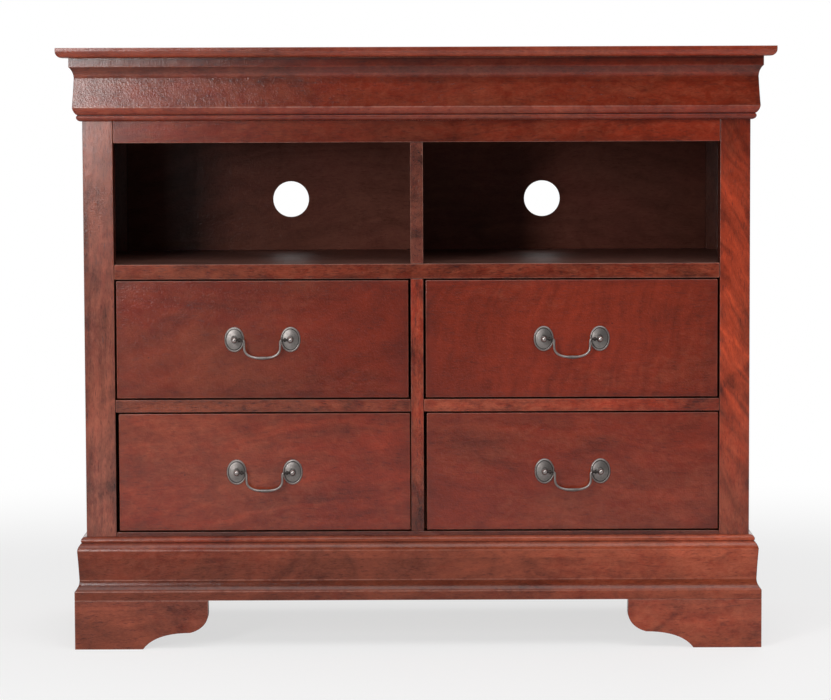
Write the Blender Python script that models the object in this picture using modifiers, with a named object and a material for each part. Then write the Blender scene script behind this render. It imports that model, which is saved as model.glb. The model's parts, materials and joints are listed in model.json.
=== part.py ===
"""Media chest: two open compartments over four drawers, on bracket feet.

Sizes are in metres. +Z is up and the front faces -Y. The origin is on the floor, under the middle
of the top board's outline.
"""
import math

import bmesh
import bpy
from mathutils import Matrix, Vector

# Fits
GAP = 0.0003                     # glue or seat gap between two fixed pieces
EASE = 0.0008                    # flat on the arrises of the frame and the fronts
SMOOTH_LIMIT = 35                # degrees between two faces that are shaded as one curve

# Top board
WIDTH = 1.067
DEPTH = 0.457
TOP_THICKNESS = 0.015
TOP_OVERHANG = 0.036             # past the case at the front and sides
TOP_EDGE_ROUND = 0.010
TOP_EDGE_STEPS = 6

# Front, from the floor up
FOOT_HEIGHT = 0.0735
BASE_HEIGHT = 0.0955
BASE_REVEAL = 0.006              # bottom rail seen above the base moulding
DRAWER_OPENING_HEIGHT = 0.1805
DRAWER_RAIL_HEIGHT = 0.019
SHELF_RAIL_HEIGHT = 0.0225
MEDIA_HEIGHT = 0.181
TOP_RAIL_REVEAL = 0.0325
CROWN_HEIGHT = 0.094

# Case
POST_WIDTH = 0.045
FRAME_DEPTH = 0.038              # posts, drawer rails and centre stile, front to back
STILE_WIDTH = 0.019
TOP_RAIL_THICKNESS = 0.020
BOTTOM_RAIL_HEIGHT = 0.080
DIVIDER_THICKNESS = 0.019
SIDE_THICKNESS = 0.015
REAR_POST_WIDTH = 0.033          # from the case's outer face
REAR_POST_DEPTH = 0.025
BACK_THICKNESS = 0.005
BACK_RABBET_LIP = 0.010          # side panel left outside the back panel
SHELF_THICKNESS = 0.012
SHELF_DADO = 0.005               # shelf let into each side panel
CABLE_HOLE_RADIUS = 0.02875
CABLE_HOLE_OFFSET = 0.202        # from the middle of the chest
CABLE_HOLE_HEIGHT = 0.0815       # above the shelf
CABLE_HOLE_SIDES = 40

# Mouldings: how far each member stands out of the case, and its height
BEAD_OUT = 0.0083
BEAD_HEIGHT = 0.0088
BEAD_BELLY = 0.0060              # height of the bead's widest line
QUIRK_OUT = 0.0067               # groove between bead and ovolo
QUIRK_HEIGHT = 0.0010
OVOLO_FOOT_OUT = 0.0075
OVOLO_HEIGHT = 0.0108
OVOLO_TURNS = (54, 10)           # degrees off upright at its foot and its head
FRIEZE_OUT = 0.0137
FRIEZE_HOLLOW = 0.0003           # sag of the frieze's slightly hollow face
COVE_FOOT_OUT = 0.0107
COVE_HEIGHT = 0.0165
COVE_TURNS = (0, 50)
FILLET_OUT = 0.0178
FILLET_HEIGHT = 0.0135
BEAD_STEPS = 7
BEAD_HEAD_STEPS = 3
FRIEZE_STEPS = 3
ARC_STEPS = 8

# Bracket feet
FOOT_FRONT_LENGTH = 0.200
FOOT_FRONT_PAD = 0.102           # flat on the floor, from the corner
FOOT_SIDE_LENGTH = 0.158
FOOT_SIDE_PAD = 0.070
FOOT_BACK_LENGTH = 0.125
FOOT_BACK_PAD = 0.090
FOOT_THICKNESS = 0.024
FOOT_ARCH_HEIGHT = 0.0246
FOOT_LOBE = 0.027                # length of the rounded lobe at the inner end
FOOT_SHOULDER = 0.0205           # upright end of the bracket, below the base
FOOT_ARCH_RISE = (0.18, 0.72)    # handle at the pad, in shares of the arch's run and height
FOOT_ARCH_CREST = 0.55           # handle at the lobe, in a share of the arch's run
FOOT_LOBE_SAG = (0.50, 0.12)     # handle at the lobe's foot, in shares of its length and rise
FOOT_LOBE_CHEEK = 0.45           # handle at the lobe's head, in a share of its rise
FOOT_BLOCK = 0.040               # glue block in the corner
FOOT_BLOCK_LIFT = 0.003
FOOT_CURVE_STEPS = 10

# Drawers
DRAWER_SIDE_GAP = 0.0031         # beside a front
DRAWER_FRONT_GAP = 0.0022        # above and below a front
DRAWER_RECESS = 0.001
FRONT_THICKNESS = 0.018
FRONT_LAP = 0.006                # front left whole before the dovetails
BOX_THICKNESS = 0.012            # drawer sides and back
BOX_HEADROOM = 0.030             # between the sides and the rail above
BOX_RUNNING_GAP = 0.0003         # between the sides and the rail below
BOX_END_CLEARANCE = 0.014        # between the sides and the back panel
BOX_TAIL_RUN = 0.010             # sides past the drawer back
BACK_DROP = 0.006                # drawer back below the sides' top edges
BACK_DADO = 0.004
BOTTOM_THICKNESS = 0.004
GROOVE_DEPTH = 0.005
TAIL_COUNT = 4
TAIL_FLARE = 0.0022              # each side of a tail, from its root to its end
TAIL_MARGIN = 0.007
PIN_ROOT = 0.013                 # wood between two tails' roots
SIDE_SHIFTS = {"upper_left": -0.0004, "upper_right": 0.0003, "lower_left": 0.0016, "lower_right": 0.0014}

# Centre runners
RUNNER_WIDTH = 0.036
RUNNER_HEIGHT = 0.008
RUNNER_SETBACK = 0.002           # behind a closed drawer's front
RUNNER_GUIDE_GAP = 0.0008
RUNNER_TOP_GAP = 0.0012
NOTCH_BRIDGE = 0.004             # drawer back left between the runner notch and the groove

# Bail pulls
POST_SPACING = 0.084
ROSETTE_WIDTH = 0.030
ROSETTE_HEIGHT = 0.038
ROSETTE_RIM = 0.0020             # rim's height above the drawer front
ROSETTE_STEPS = 32
ROSETTE_SECTION = (              # from the middle out, in shares of the half height and the rim
    (0.0, 1.20), (0.26, 1.10), (0.55, 0.85), (0.82, 0.55),
    (0.88, 1.0), (0.94, 1.0), (0.985, 0.70), (1.0, 0.25))
STUD_RADIUS = 0.0028
STUD_WAIST = 0.0024
STUD_COLLAR_RADIUS = 0.0048
STUD_COLLAR_HEAD = 0.0040        # above the drawer front
STUD_COLLAR_SHOULDER = 0.0030
BALL_RADIUS = 0.0042
BALL_STEPS = 12
BAIL_STANDOFF = 0.0130           # posts' holes in front of the drawer front
BAIL_DROP = 0.0270
BAIL_WIRE_RADIUS = 0.00175
BAIL_SWELL = 0.00080             # added to the wire's radius at the middle of the grip
BAIL_SWELL_REACH = 0.0075
BAIL_PIN_RADIUS = 0.0015
BAIL_PIN_GAP = 0.0004            # between a pin and its hole
BAIL_PIN_TIP = 0.0008            # pin's end from the post's axis
BAIL_HOLE_END = 0.0004           # hole's blind end past the post's axis
BAIL_COLLAR_RADIUS = 0.0029
BAIL_COLLAR_START = 0.0066       # from the post's axis
BAIL_COLLAR_LENGTH = 0.0028
BAIL_COLLAR_EASE = 0.0006
BAIL_COLLAR_NECK = 0.0020        # radius where the collar meets the wire
BAIL_ELBOW_RADIUS = 0.0032
BAIL_LEG_INSET = 0.0152          # leg from the post's axis
BAIL_LEG_STRAIGHT = 0.0110       # from the posts' axis down
BAIL_LEG_HANDLE = 0.72           # in a share of the drop below the straight of the leg
BAIL_GRIP_HANDLE = 0.64          # in a share of the grip's half width
BAIL_GRIP_STEPS = 11
BAIL_WIRE_STEPS = 2

# Finishes: colour, roughness, metallic
CHERRY = ((0.185, 0.043, 0.027, 1.0), 0.32, 0.0)
CHERRY_DARK = ((0.125, 0.030, 0.020, 1.0), 0.36, 0.0)
BOX_WOOD = ((0.42, 0.25, 0.14, 1.0), 0.55, 0.0)
PLYWOOD = ((0.10, 0.032, 0.022, 1.0), 0.50, 0.0)
PEWTER = ((0.24, 0.22, 0.20, 1.0), 0.38, 0.9)

# Places worked out from the sizes
HALF_CASE = WIDTH / 2 - TOP_OVERHANG
Y_FACE = -DEPTH / 2 + TOP_OVERHANG
Y_BACK = DEPTH / 2
Y_BACK_PANEL = Y_BACK - BACK_THICKNESS
Z_BASE_TOP = FOOT_HEIGHT + BASE_HEIGHT
Z_LOWER = Z_BASE_TOP + BASE_REVEAL
Z_DRAWER_RAIL = Z_LOWER + DRAWER_OPENING_HEIGHT
Z_UPPER = Z_DRAWER_RAIL + DRAWER_RAIL_HEIGHT
Z_SHELF_RAIL = Z_UPPER + DRAWER_OPENING_HEIGHT
Z_SHELF = Z_SHELF_RAIL + SHELF_RAIL_HEIGHT
Z_TOP_RAIL = Z_SHELF + MEDIA_HEIGHT
Z_CROWN = Z_TOP_RAIL + TOP_RAIL_REVEAL
Z_TOP = Z_CROWN + CROWN_HEIGHT
HALF_FRAME = HALF_CASE - POST_WIDTH

OPENING_WIDTH = HALF_FRAME - STILE_WIDTH / 2
OPENING_CENTRE = (HALF_FRAME + STILE_WIDTH / 2) / 2
FRONT_HALF = OPENING_WIDTH / 2 - DRAWER_SIDE_GAP
FRONT_BACK = DRAWER_RECESS + FRONT_THICKNESS
BOX_INNER = FRONT_HALF - BOX_THICKNESS
BOX_START = FRONT_BACK + GAP
BOX_END = Y_BACK_PANEL - Y_FACE - BOX_END_CLEARANCE
BOX_FOOT = BOX_RUNNING_GAP
BOX_HEAD = DRAWER_OPENING_HEIGHT - BOX_HEADROOM
NOTCH_HEAD = GAP + RUNNER_HEIGHT + RUNNER_TOP_GAP
GROOVE_FOOT = NOTCH_HEAD + NOTCH_BRIDGE
GROOVE_HEAD = GROOVE_FOOT + BOTTOM_THICKNESS + 2 * GAP
DRAWER_BACK_FRONT = BOX_END - BOX_TAIL_RUN - BOX_THICKNESS
PULL_HEIGHT = DRAWER_OPENING_HEIGHT / 2

# Each plane's two drawing axes and its normal
PLANES = {
    "front": (Vector((1, 0, 0)), Vector((0, 0, 1)), Vector((0, -1, 0))),
    "side": (Vector((0, 1, 0)), Vector((0, 0, 1)), Vector((1, 0, 0))),
    "plan": (Vector((1, 0, 0)), Vector((0, 1, 0)), Vector((0, 0, 1))),
}

for old in list(bpy.data.objects):
    bpy.data.objects.remove(old, do_unlink=True)

PARTS = bpy.data.collections.new("media_chest")
CUTTERS = bpy.data.collections.new("cutters")
bpy.context.scene.collection.children.link(PARTS)
bpy.context.scene.collection.children.link(CUTTERS)


def smooth_by_angle():
    """A node group that shades a piece's curves smooth and keeps its arrises sharp."""
    group = bpy.data.node_groups.new("smooth_by_angle", "GeometryNodeTree")
    group.interface.new_socket("Geometry", in_out="INPUT", socket_type="NodeSocketGeometry")
    group.interface.new_socket("Geometry", in_out="OUTPUT", socket_type="NodeSocketGeometry")
    start = group.nodes.new("NodeGroupInput")
    bend = group.nodes.new("GeometryNodeInputMeshEdgeAngle")
    shallow = group.nodes.new("FunctionNodeCompare")
    shallow.operation = "LESS_EQUAL"
    shallow.inputs["B"].default_value = math.radians(SMOOTH_LIMIT)
    faces = group.nodes.new("GeometryNodeSetShadeSmooth")
    faces.domain = "FACE"
    edges = group.nodes.new("GeometryNodeSetShadeSmooth")
    edges.domain = "EDGE"
    end = group.nodes.new("NodeGroupOutput")
    group.links.new(start.outputs[0], faces.inputs["Geometry"])
    group.links.new(faces.outputs["Geometry"], edges.inputs["Geometry"])
    group.links.new(bend.outputs["Unsigned Angle"], shallow.inputs["A"])
    group.links.new(shallow.outputs["Result"], edges.inputs["Shade Smooth"])
    group.links.new(edges.outputs["Geometry"], end.inputs[0])
    return group


SMOOTH_BY_ANGLE = smooth_by_angle()


def finish(piece, look):
    """Give a piece its own material and its shading."""
    colour, roughness, metallic = look
    material = bpy.data.materials.new(piece.name)
    material.use_nodes = True
    shader = material.node_tree.nodes["Principled BSDF"]
    shader.inputs["Base Color"].default_value = colour
    shader.inputs["Roughness"].default_value = roughness
    shader.inputs["Metallic"].default_value = metallic
    material.diffuse_color = colour
    piece.data.materials.clear()
    piece.data.materials.append(material)
    shading = piece.modifiers.new("shading", "NODES")
    shading.node_group = SMOOTH_BY_ANGLE


def mesh_piece(name, form, parent=None):
    """Turn a bmesh into an object of the chest."""
    mesh = bpy.data.meshes.new(name)
    form.to_mesh(mesh)
    form.free()
    piece = bpy.data.objects.new(name, mesh)
    piece.parent = parent
    PARTS.objects.link(piece)
    return piece


def block(name, low, high, parent=None, ease=0.0):
    """A board between two corners, with its arrises eased if asked."""
    low, high = Vector(low), Vector(high)
    form = bmesh.new()
    bmesh.ops.create_cube(form, size=1.0)
    bmesh.ops.scale(form, vec=high - low, verts=form.verts)
    bmesh.ops.translate(form, vec=(low + high) / 2, verts=form.verts)
    if ease:
        bmesh.ops.bevel(form, geom=list(form.edges), offset=ease, segments=1, profile=0.5, affect="EDGES")
    return mesh_piece(name, form, parent)


def as_mesh(drawn, placing, parent=None):
    """Replace a curve or a turned profile by the closed mesh that it makes."""
    bpy.context.view_layer.update()
    evaluated = drawn.evaluated_get(bpy.context.evaluated_depsgraph_get())
    form = bmesh.new()
    made = bpy.data.meshes.new_from_object(evaluated)
    form.from_mesh(made)
    bmesh.ops.remove_doubles(form, verts=form.verts, dist=0.00001)
    bmesh.ops.recalc_face_normals(form, faces=form.faces)
    bmesh.ops.transform(form, matrix=placing, verts=form.verts)
    name = drawn.name
    bpy.data.objects.remove(drawn, do_unlink=True)
    bpy.data.meshes.remove(made)
    return mesh_piece(name, form, parent)


def plate(name, outlines, plane, low, high, parent=None):
    """Flat outlines in a plane, the first with the others cut out, thick from low to high."""
    across, up, normal = PLANES[plane]
    curve = bpy.data.curves.new(name, "CURVE")
    curve.dimensions = "2D"
    curve.fill_mode = "BOTH"
    curve.extrude = (high - low) / 2
    for outline in outlines:
        spline = curve.splines.new("POLY")
        spline.points.add(len(outline) - 1)
        for point, (u, v) in zip(spline.points, outline):
            point.co = (u, v, 0.0, 1.0)
        spline.use_cyclic_u = True
    drawn = bpy.data.objects.new(name, curve)
    PARTS.objects.link(drawn)
    placing = Matrix((across, up, normal)).transposed().to_4x4()
    sign = sum(normal)
    placing.translation = normal * sign * (low + high) / 2
    return as_mesh(drawn, placing, parent)


def turned(name, profile, steps, placing, parent=None):
    """A profile of (radius, height) points, from its head down to its foot, turned about its axis."""
    mesh = bpy.data.meshes.new(name)
    points = [(radius, 0.0, height) for radius, height in profile]
    mesh.from_pydata(points, [(i, i + 1) for i in range(len(points) - 1)], [])
    drawn = bpy.data.objects.new(name, mesh)
    PARTS.objects.link(drawn)
    screw = drawn.modifiers.new("turn", "SCREW")
    screw.steps = steps
    screw.render_steps = steps
    screw.use_merge_vertices = True
    screw.merge_threshold = 0.00001
    return as_mesh(drawn, placing, parent)


def use_tool(piece, tool, operation):
    """Cut a piece by a tool, or join the tool's shape to it."""
    for holder in list(tool.users_collection):
        holder.objects.unlink(tool)
    CUTTERS.objects.link(tool)
    tool.parent = piece.parent
    tool.hide_render = True
    tool.display_type = "WIRE"
    change = piece.modifiers.new(tool.name, "BOOLEAN")
    change.operation = operation
    change.solver = "EXACT"
    change.object = tool


def ellipse_arc(centre, radii, start, end, steps):
    """Points on an ellipse between two angles in degrees, both ends included."""
    points = []
    for i in range(steps + 1):
        angle = math.radians(start + (end - start) * i / steps)
        points.append((centre[0] + radii[0] * math.cos(angle), centre[1] + radii[1] * math.sin(angle)))
    return points


def bezier(start, start_handle, end_handle, end, steps):
    """Points on a cubic curve, both ends included."""
    corners = [Vector(corner) for corner in (start, start_handle, end_handle, end)]
    points = []
    for i in range(steps + 1):
        t = i / steps
        weights = ((1 - t) ** 3, 3 * t * (1 - t) ** 2, 3 * t * t * (1 - t), t ** 3)
        points.append(tuple(sum((corner * w for corner, w in zip(corners, weights)), Vector((0, 0)))))
    return points


def swept(start, end, turns, steps):
    """Points on a curve that leaves and arrives at the given degrees off upright, both ends included."""
    reach = math.dist(start, end) / 3
    leave, arrive = (math.radians(turn) for turn in turns)
    start_handle = (start[0] + reach * math.sin(leave), start[1] + reach * math.cos(leave))
    end_handle = (end[0] - reach * math.sin(arrive), end[1] - reach * math.cos(arrive))
    return bezier(start, start_handle, end_handle, end, steps)


def moulding_profile(height):
    """(out, up) points round a moulding that has its bead at the foot and its fillet at the head."""
    belly_radii = (BEAD_OUT - GAP, BEAD_BELLY)
    bead_head_radii = (BEAD_OUT - QUIRK_OUT, BEAD_HEIGHT - BEAD_BELLY)
    ovolo_foot = (OVOLO_FOOT_OUT, BEAD_HEIGHT + QUIRK_HEIGHT)
    frieze_foot = (FRIEZE_OUT, ovolo_foot[1] + OVOLO_HEIGHT)
    cove_foot = (COVE_FOOT_OUT, height - FILLET_HEIGHT - COVE_HEIGHT)
    cove_head = (FILLET_OUT, height - FILLET_HEIGHT)
    sag = ((frieze_foot[0] + cove_foot[0]) / 2 - FRIEZE_HOLLOW, (frieze_foot[1] + cove_foot[1]) / 2)
    points = ellipse_arc((GAP, BEAD_BELLY), belly_radii, -90, 0, BEAD_STEPS)
    points += ellipse_arc((QUIRK_OUT, BEAD_BELLY), bead_head_radii, 0, 90, BEAD_HEAD_STEPS)[1:]
    points += [(QUIRK_OUT, ovolo_foot[1])]
    points += swept(ovolo_foot, frieze_foot, OVOLO_TURNS, ARC_STEPS)
    points += bezier(frieze_foot, sag, sag, cove_foot, FRIEZE_STEPS)[1:-1]
    points += swept(cove_foot, cove_head, COVE_TURNS, ARC_STEPS)
    points += [(FILLET_OUT, height), (GAP, height)]
    return points


def upside_down(profile, height):
    """The same moulding with its fillet at the foot and its bead at the head."""
    return [(out, height - up) for out, up in profile]


def mitre(piece, lengthwise, ends, stands_out):
    """Run the named ends of a moulding on by as much as each point stands out, less the glue gap."""
    for vertex in piece.data.vertices:
        end = 1 if vertex.co[lengthwise] > 0 else -1
        if end in ends:
            vertex.co[lengthwise] += end * (stands_out(vertex.co) - GAP / math.sqrt(2))


def moulding_set(name, profile, foot):
    """The front, left and right runs of a moulding round the case."""
    outline = [(Y_FACE - out, foot + up) for out, up in profile]
    front = plate(f"{name}_front", [outline], "side", -HALF_CASE, HALF_CASE)
    mitre(front, 0, (-1, 1), lambda place: Y_FACE - place.y)
    finish(front, CHERRY)
    for side, sign in (("left", -1), ("right", 1)):
        outline = [(sign * (HALF_CASE + out), foot + up) for out, up in profile]
        run = plate(f"{name}_{side}", [outline], "front", Y_FACE, Y_BACK)
        mitre(run, 1, (-1,), lambda place: abs(place.x) - HALF_CASE)
        finish(run, CHERRY)


def top_board():
    form = bmesh.new()
    bmesh.ops.create_cube(form, size=1.0)
    bmesh.ops.scale(form, vec=(WIDTH, DEPTH, TOP_THICKNESS), verts=form.verts)
    bmesh.ops.translate(form, vec=(0, 0, Z_TOP + TOP_THICKNESS / 2), verts=form.verts)
    rounded = []
    for edge in form.edges:
        middle = (edge.verts[0].co + edge.verts[1].co) / 2
        at_foot = middle.z < Z_TOP + TOP_THICKNESS / 4
        at_back = middle.y > DEPTH / 4
        upright = abs(edge.verts[0].co.z - edge.verts[1].co.z) > TOP_THICKNESS / 2
        if at_foot and not at_back and not upright:
            rounded.append(edge)
    bmesh.ops.bevel(
        form, geom=rounded, offset=TOP_EDGE_ROUND, segments=TOP_EDGE_STEPS, profile=0.5, affect="EDGES")
    finish(mesh_piece("top_board", form), CHERRY)


def front_posts():
    for side, sign in (("left", -1), ("right", 1)):
        inner, outer = sign * HALF_FRAME, sign * HALF_CASE
        post = block(
            f"{side}_front_post",
            (min(inner, outer), Y_FACE, FOOT_HEIGHT + GAP),
            (max(inner, outer), Y_FACE + FRAME_DEPTH, Z_TOP - GAP), ease=EASE)
        finish(post, CHERRY)


def side_panels():
    """Each side panel with its rear post glued on, a rabbet for the back panel and a dado for the shelf."""
    front = Y_FACE + FRAME_DEPTH + GAP
    post_back = Y_BACK_PANEL - GAP
    post_front = Y_BACK_PANEL - REAR_POST_DEPTH
    lip = BACK_RABBET_LIP
    for side, sign in (("left", -1), ("right", 1)):
        inward = [
            (0.0, front), (0.0, Y_BACK), (lip, Y_BACK), (lip, post_back), (REAR_POST_WIDTH, post_back),
            (REAR_POST_WIDTH, post_front), (SIDE_THICKNESS, post_front), (SIDE_THICKNESS, front)]
        outline = [(sign * (HALF_CASE - inset), y) for inset, y in inward]
        panel = plate(f"{side}_side_panel", [outline], "plan", FOOT_HEIGHT + GAP, Z_TOP - GAP)
        inner = sign * (HALF_CASE - SIDE_THICKNESS)
        floor = inner + sign * SHELF_DADO
        spill = inner - sign * SHELF_DADO
        dado = block(
            f"{side}_shelf_dado",
            (min(floor, spill), front - SHELF_DADO, Z_SHELF - SHELF_THICKNESS - GAP),
            (max(floor, spill), post_front, Z_SHELF + GAP))
        use_tool(panel, dado, "DIFFERENCE")
        finish(panel, CHERRY)


def front_frame():
    """The rails and the centre stile between the front posts."""
    reach = HALF_FRAME - GAP
    back = Y_FACE + FRAME_DEPTH
    stile = STILE_WIDTH / 2
    boards = {
        "top_rail": ((-reach, Y_FACE, Z_TOP_RAIL), (reach, Y_FACE + TOP_RAIL_THICKNESS, Z_TOP - GAP)),
        "shelf_rail": ((-reach, Y_FACE, Z_SHELF_RAIL), (reach, back, Z_SHELF)),
        "left_drawer_rail": ((-reach, Y_FACE, Z_DRAWER_RAIL), (-stile - GAP, back, Z_UPPER)),
        "right_drawer_rail": ((stile + GAP, Y_FACE, Z_DRAWER_RAIL), (reach, back, Z_UPPER)),
        "centre_stile": ((-stile, Y_FACE, Z_LOWER + GAP), (stile, back, Z_SHELF_RAIL - GAP)),
        "bottom_rail": ((-reach, Y_FACE, Z_LOWER - BOTTOM_RAIL_HEIGHT), (reach, back, Z_LOWER)),
    }
    for name, (low, high) in boards.items():
        finish(block(name, low, high, ease=EASE), CHERRY)


def compartment_divider():
    """Stands on the shelf, under the top rail in front and up to the top board behind it."""
    rail_back = Y_FACE + TOP_RAIL_THICKNESS + GAP
    outline = [
        (Y_FACE, Z_SHELF + GAP), (Y_BACK_PANEL - GAP, Z_SHELF + GAP), (Y_BACK_PANEL - GAP, Z_TOP - GAP),
        (rail_back, Z_TOP - GAP), (rail_back, Z_TOP_RAIL - GAP), (Y_FACE, Z_TOP_RAIL - GAP)]
    half = DIVIDER_THICKNESS / 2
    finish(plate("compartment_divider", [outline], "side", -half, half), CHERRY_DARK)


def media_shelf():
    """Runs in the side panels' dados, notched round the rear posts."""
    front = Y_FACE + FRAME_DEPTH + GAP
    back = Y_BACK_PANEL - GAP
    notch = Y_BACK_PANEL - REAR_POST_DEPTH - GAP
    end = HALF_CASE - SIDE_THICKNESS + SHELF_DADO - GAP
    waist = HALF_CASE - REAR_POST_WIDTH - GAP
    outline = [
        (-end, front), (end, front), (end, notch), (waist, notch), (waist, back), (-waist, back),
        (-waist, notch), (-end, notch)]
    finish(plate("media_shelf", [outline], "plan", Z_SHELF - SHELF_THICKNESS, Z_SHELF), CHERRY_DARK)


def back_panel():
    """Thin panel in the side panels' rabbets, with a cable hole behind each compartment."""
    half = HALF_CASE - BACK_RABBET_LIP - GAP
    foot, head = FOOT_HEIGHT + GAP, Z_TOP - GAP
    outlines = [[(-half, foot), (half, foot), (half, head), (-half, head)]]
    turn = 360 - 360 / CABLE_HOLE_SIDES
    for sign in (-1, 1):
        centre = (sign * CABLE_HOLE_OFFSET, Z_SHELF + CABLE_HOLE_HEIGHT)
        outlines.append(ellipse_arc(centre, (CABLE_HOLE_RADIUS,) * 2, 0, turn, CABLE_HOLE_SIDES - 1))
    finish(plate("back_panel", outlines, "front", Y_BACK_PANEL, Y_BACK), PLYWOOD)


def shaped_bracket(start, pad, length):
    """(along, up) points of a shaped board, from a place near its corner to its inner end."""
    head = FOOT_HEIGHT - GAP
    lobe_foot = length - FOOT_LOBE
    lobe_head = FOOT_HEIGHT - FOOT_SHOULDER
    arch_run = lobe_foot - pad
    lobe_rise = lobe_head - FOOT_ARCH_HEIGHT
    rise = (pad + FOOT_ARCH_RISE[0] * arch_run, FOOT_ARCH_RISE[1] * FOOT_ARCH_HEIGHT)
    crest = (pad + FOOT_ARCH_CREST * arch_run, FOOT_ARCH_HEIGHT)
    arch = bezier((pad, 0.0), rise, crest, (lobe_foot, FOOT_ARCH_HEIGHT), FOOT_CURVE_STEPS)
    sag = (lobe_foot + FOOT_LOBE_SAG[0] * FOOT_LOBE, FOOT_ARCH_HEIGHT + FOOT_LOBE_SAG[1] * lobe_rise)
    cheek = (length, FOOT_ARCH_HEIGHT + FOOT_LOBE_CHEEK * lobe_rise)
    lobe = bezier((lobe_foot, FOOT_ARCH_HEIGHT), sag, cheek, (length, lobe_head), FOOT_CURVE_STEPS)
    return [(start, 0.0)] + arch + lobe[1:] + [(length, head), (start, head)]


def plain_bracket(pad, length):
    """(along, up) points of a rear foot's plain back board."""
    head = FOOT_HEIGHT - GAP
    return [(0.0, 0.0), (pad, 0.0), (length, head), (0.0, head)]


def foot(name, sign, corner_y, inward, across_outline):
    """A bracket foot: a board across the chest, a shaped board along its side and a glue block."""
    outer = HALF_CASE + FILLET_OUT
    thick = FOOT_THICKNESS
    across = [(sign * (outer - along), up) for along, up in across_outline]
    near, far = sorted((corner_y, corner_y + inward * thick))
    piece = plate(name, [across], "front", near, far)
    overlap = thick / 2
    side_outline = shaped_bracket(overlap, FOOT_SIDE_PAD, FOOT_SIDE_LENGTH)
    along_side = [(corner_y + inward * along, up) for along, up in side_outline]
    near, far = sorted((sign * outer, sign * (outer - thick)))
    use_tool(piece, plate(f"{name}_side_board", [along_side], "side", near, far), "UNION")
    x_low, x_high = sorted((sign * (outer - overlap), sign * (outer - thick - FOOT_BLOCK)))
    y_low, y_high = sorted((corner_y + inward * overlap, corner_y + inward * (thick + FOOT_BLOCK)))
    glue_block = block(
        f"{name}_glue_block", (x_low, y_low, FOOT_BLOCK_LIFT), (x_high, y_high, FOOT_HEIGHT - GAP))
    use_tool(piece, glue_block, "UNION")
    finish(piece, CHERRY)


def feet():
    shaped = shaped_bracket(0.0, FOOT_FRONT_PAD, FOOT_FRONT_LENGTH)
    plain = plain_bracket(FOOT_BACK_PAD, FOOT_BACK_LENGTH)
    for side, sign in (("left", -1), ("right", 1)):
        foot(f"{side}_front_foot", sign, Y_FACE - FILLET_OUT, 1, shaped)
        foot(f"{side}_rear_foot", sign, Y_BACK, -1, plain)


def drawer_front(name, carriage):
    """Front with a half-blind dovetail socket for each tail and a groove for the bottom."""
    foot_z = DRAWER_FRONT_GAP
    head_z = DRAWER_OPENING_HEIGHT - DRAWER_FRONT_GAP
    front = block(
        f"{name}_drawer_front", (-FRONT_HALF, DRAWER_RECESS, foot_z), (FRONT_HALF, FRONT_BACK, head_z),
        carriage, ease=EASE)
    for side, sign in (("left", -1), ("right", 1)):
        near, far = sorted((sign * (BOX_INNER - GAP), sign * (FRONT_HALF + GAP)))
        for index, outline in enumerate(tail_outlines(GAP, BOX_THICKNESS / 4)):
            socket = plate(f"{name}_{side}_socket_{index}", [outline], "side", near, far)
            use_tool(front, socket, "DIFFERENCE")
    reach = BOX_INNER + GROOVE_DEPTH
    groove = block(
        f"{name}_front_groove", (-reach, FRONT_BACK - GROOVE_DEPTH, GROOVE_FOOT),
        (reach, FRONT_BACK + GROOVE_DEPTH, GROOVE_HEAD))
    use_tool(front, groove, "DIFFERENCE")
    finish(front, CHERRY)


def tail_outlines(grow, spill):
    """(y, z) corners of each dovetail, larger all round by grow and run on backwards by spill."""
    foot_z = DRAWER_FRONT_GAP + TAIL_MARGIN
    pitch = (BOX_HEAD - TAIL_MARGIN - foot_z + PIN_ROOT) / TAIL_COUNT
    root = (pitch - PIN_ROOT) / 2
    end_y = DRAWER_RECESS + FRONT_LAP
    outlines = []
    for index in range(TAIL_COUNT):
        middle = foot_z + root + index * pitch
        outlines.append([
            (BOX_START + spill, middle - root - grow), (BOX_START + spill, middle + root + grow),
            (BOX_START, middle + root + grow), (end_y + GAP - grow, middle + root + TAIL_FLARE + grow),
            (end_y + GAP - grow, middle - root - TAIL_FLARE - grow), (BOX_START, middle - root - grow)])
    return outlines


def drawer_sides(name, carriage):
    """Sides with tails at the front, grooved for the bottom and dadoed for the back."""
    outline = [(BOX_START, BOX_FOOT)]
    for tail in tail_outlines(0.0, 0.0):
        outline += [tail[5], tail[4], tail[3], tail[2]]
    outline += [(BOX_START, BOX_HEAD), (BOX_END, BOX_HEAD), (BOX_END, BOX_FOOT)]
    for side, sign in (("left", -1), ("right", 1)):
        near, far = sorted((sign * BOX_INNER, sign * FRONT_HALF))
        board = plate(f"{name}_drawer_{side}_side", [outline], "side", near, far, carriage)
        near, far = sorted((sign * (BOX_INNER - GROOVE_DEPTH), sign * (BOX_INNER + GROOVE_DEPTH)))
        groove = block(
            f"{name}_{side}_groove", (near, FRONT_BACK - GROOVE_DEPTH, GROOVE_FOOT),
            (far, BOX_END + GROOVE_DEPTH, GROOVE_HEAD))
        use_tool(board, groove, "DIFFERENCE")
        near, far = sorted((sign * (BOX_INNER - BACK_DADO), sign * (BOX_INNER + BACK_DADO)))
        dado = block(
            f"{name}_{side}_dado", (near, DRAWER_BACK_FRONT - GAP, BOX_FOOT - BACK_DADO),
            (far, DRAWER_BACK_FRONT + BOX_THICKNESS + GAP, BOX_HEAD + BACK_DADO))
        use_tool(board, dado, "DIFFERENCE")
        finish(board, BOX_WOOD)


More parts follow.
